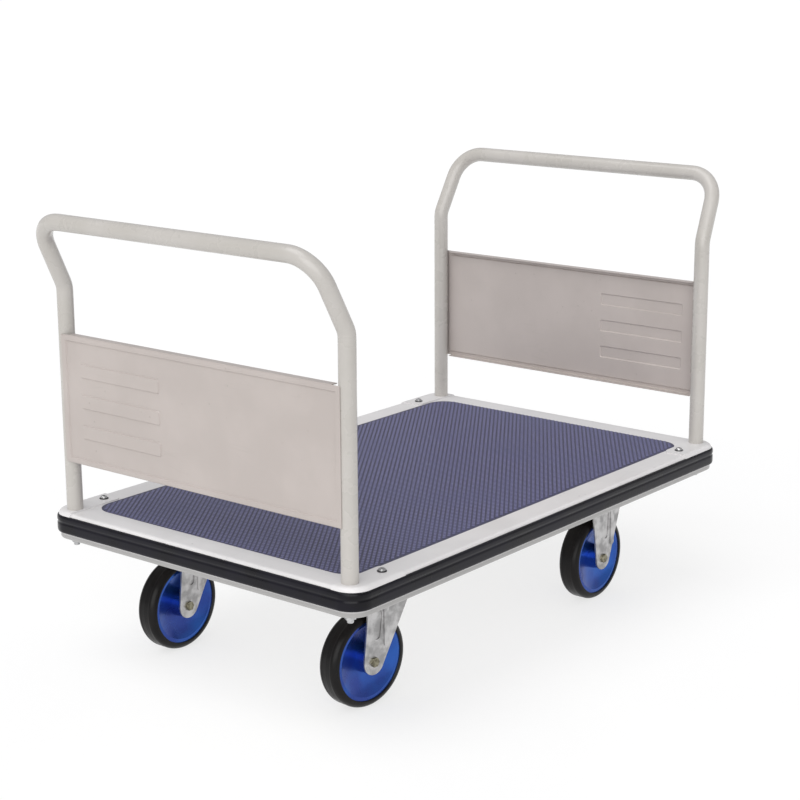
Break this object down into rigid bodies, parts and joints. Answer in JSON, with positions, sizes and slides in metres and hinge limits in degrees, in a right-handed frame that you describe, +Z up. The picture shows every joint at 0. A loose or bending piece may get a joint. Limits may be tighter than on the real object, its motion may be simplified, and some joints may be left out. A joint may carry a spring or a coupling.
{
  "type": "platform truck",
  "caption": "Flatbed platform truck with a studded deck mat, a wrap-round bumper, a tube handle with a panel at each end, two swivel casters and two rigid casters.",
  "frame": {"origin": "on the floor under the middle of the deck", "axes": "+Z up, +X toward the rigid casters at the front, +Y to the left side"},
  "size_m": [1.3398, 0.79, 0.9045],
  "materials": {
    "deck_enamel": "gloss off-white enamel",
    "frame_enamel": "off-white enamel",
    "mat_vinyl": "slate blue studded sheet",
    "bumper_rubber": "smooth near-black",
    "handle_enamel": "gloss warm off-white enamel",
    "panel_enamel": "satin warm off-white enamel",
    "bright_zinc_fixings": "bright zinc plate",
    "dark_washers": "dark plated",
    "zinc_plated_steel": "pressed and zinc plated",
    "turned_steel": "turned",
    "bearing_steel": "ground",
    "tyre_rubber": "solid rubber",
    "wheel_plastic": "blue moulding"
  },
  "bodies": {
    "truck_frame": {"axle_bolt_front_left": "bright_zinc_fixings", "axle_bolt_front_right": "bright_zinc_fixings", "axle_nut_front_left": "bright_zinc_fixings", "axle_nut_front_right": "bright_zinc_fixings", "axle_sleeve_front_left": "turned_steel", "axle_sleeve_front_right": "turned_steel", "bumper_strip": "bumper_rubber", "caster_bolts": "bright_zinc_fixings", "caster_nuts": "bright_zinc_fixings", "corner_brackets": "frame_enamel", "cross_channel_front": "frame_enamel", "cross_channel_rear": "frame_enamel", "deck_bolts": "bright_zinc_fixings", "deck_mat": "mat_vinyl", "deck_nuts": "bright_zinc_fixings", "deck_pressing": "deck_enamel", "deck_washers": "dark_washers", "foot_plate_front_left": "deck_enamel", "foot_plate_front_right": "deck_enamel", "foot_plate_rear_left": "deck_enamel", "foot_plate_rear_right": "deck_enamel", "handle_panel_front": "panel_enamel", "handle_panel_rear": "panel_enamel", "handle_tube_front": "handle_enamel", "handle_tube_rear": "handle_enamel", "kingpin_left": "turned_steel", "kingpin_nut_left": "turned_steel", "kingpin_nut_right": "turned_steel", "kingpin_right": "turned_steel", "post_nuts": "bright_zinc_fixings", "post_sleeves": "frame_enamel", "post_studs": "bright_zinc_fixings", "post_washers": "dark_washers", "rigid_fork_left": "zinc_plated_steel", "rigid_fork_right": "zinc_plated_steel", "stiffeners": "frame_enamel", "swivel_balls_left": "bearing_steel", "swivel_balls_right": "bearing_steel", "top_plate_left": "zinc_plated_steel", "top_plate_right": "zinc_plated_steel"},
    "caster_left": {"swivel_fork_left": "zinc_plated_steel", "axle_bolt_rear_left": "bright_zinc_fixings", "axle_nut_rear_left": "bright_zinc_fixings", "axle_sleeve_rear_left": "turned_steel"},
    "caster_right": {"swivel_fork_right": "zinc_plated_steel", "axle_bolt_rear_right": "bright_zinc_fixings", "axle_nut_rear_right": "bright_zinc_fixings", "axle_sleeve_rear_right": "turned_steel"},
    "wheel_front_left": {"tyre_front_left": "tyre_rubber", "wheel_centre_front_left": "wheel_plastic", "wheel_bearing_front_left": "bearing_steel"},
    "wheel_front_right": {"tyre_front_right": "tyre_rubber", "wheel_centre_front_right": "wheel_plastic", "wheel_bearing_front_right": "bearing_steel"},
    "wheel_rear_left": {"tyre_rear_left": "tyre_rubber", "wheel_centre_rear_left": "wheel_plastic", "wheel_bearing_rear_left": "bearing_steel"},
    "wheel_rear_right": {"tyre_rear_right": "tyre_rubber", "wheel_centre_rear_right": "wheel_plastic", "wheel_bearing_rear_right": "bearing_steel"}
  },
  "joints": [
    {"name": "swivel_left", "type": "hinge", "parent": "truck_frame", "child": "caster_left", "pos_m": [-0.38, 0.245, 0.217], "axis": [0, 0, 1], "continuous": true},
    {"name": "swivel_right", "type": "hinge", "parent": "truck_frame", "child": "caster_right", "pos_m": [-0.38, -0.245, 0.217], "axis": [0, 0, 1], "continuous": true},
    {"name": "spin_rear_left", "type": "hinge", "parent": "caster_left", "child": "wheel_rear_left", "pos_m": [-0.422, 0.245, 0.0925], "axis": [0, 1, 0], "continuous": true},
    {"name": "spin_front_left", "type": "hinge", "parent": "truck_frame", "child": "wheel_front_left", "pos_m": [0.338, 0.245, 0.0925], "axis": [0, 1, 0], "continuous": true},
    {"name": "spin_rear_right", "type": "hinge", "parent": "caster_right", "child": "wheel_rear_right", "pos_m": [-0.42173, -0.24024, 0.0925], "axis": [0.1132, 0.9936, 0], "continuous": true},
    {"name": "spin_front_right", "type": "hinge", "parent": "truck_frame", "child": "wheel_front_right", "pos_m": [0.338, -0.245, 0.0925], "axis": [0, 1, 0], "continuous": true}
  ]
}
